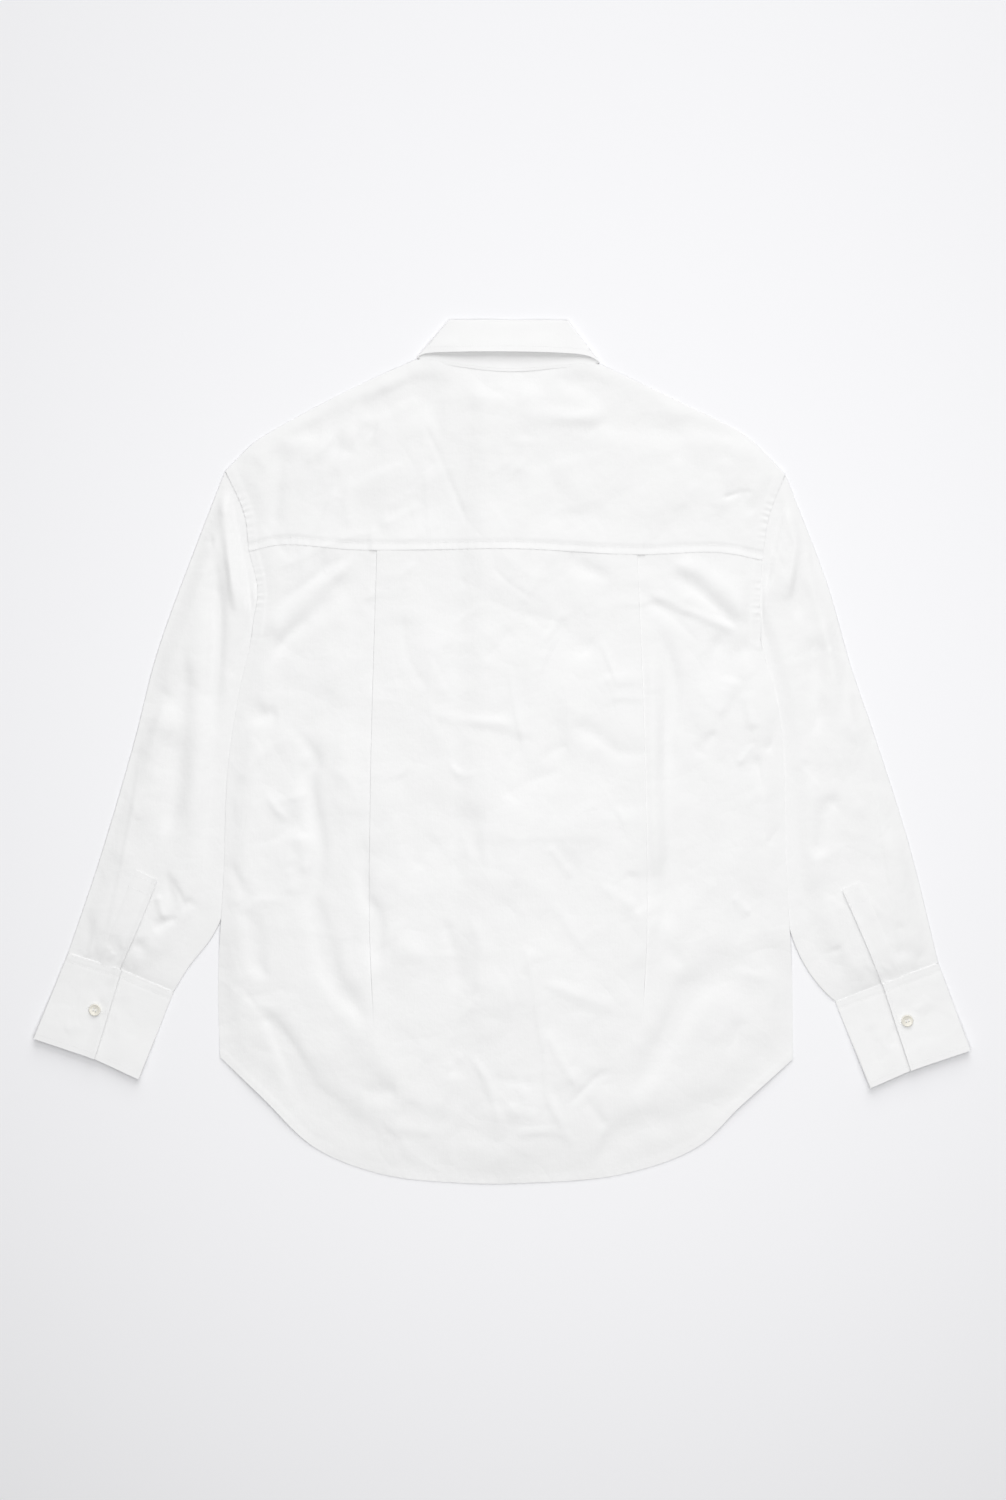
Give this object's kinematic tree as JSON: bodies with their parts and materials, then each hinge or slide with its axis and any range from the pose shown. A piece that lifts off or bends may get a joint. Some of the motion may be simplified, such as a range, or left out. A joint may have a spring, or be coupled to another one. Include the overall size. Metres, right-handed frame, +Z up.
{
  "type": "shirt",
  "caption": "White long-sleeved poplin shirt laid flat on its front, back up, with a pleated back, a yoke, a turned collar and buttoned cuffs.",
  "frame": {"origin": "centre of the shirt's bounding box, on the surface it lies on", "axes": "+Z up out of the surface, through the layers from the fronts to the back; +Y from the hem to the collar; +X to the wearer's right"},
  "size_m": [0.898, 0.8297, 0.0132],
  "materials": {
    "cloth": "matte cotton poplin",
    "button": "satin"
  },
  "bodies": {
    "root": {"back": "cloth", "yoke": "cloth", "front_left": "cloth", "front_right": "cloth", "front_band": "cloth", "sleeve_left": "cloth", "sleeve_right": "cloth", "placket_left": "cloth", "placket_right": "cloth", "cuff_left": "cloth", "cuff_right": "cloth", "collar_stand": "cloth", "collar_fall": "cloth", "front_button_1": "button", "front_button_2": "button", "front_button_3": "button", "front_button_4": "button", "front_button_5": "button", "front_button_6": "button", "front_button_7": "button", "cuff_button_left": "button", "cuff_button_right": "button"}
  },
  "joints": []
}
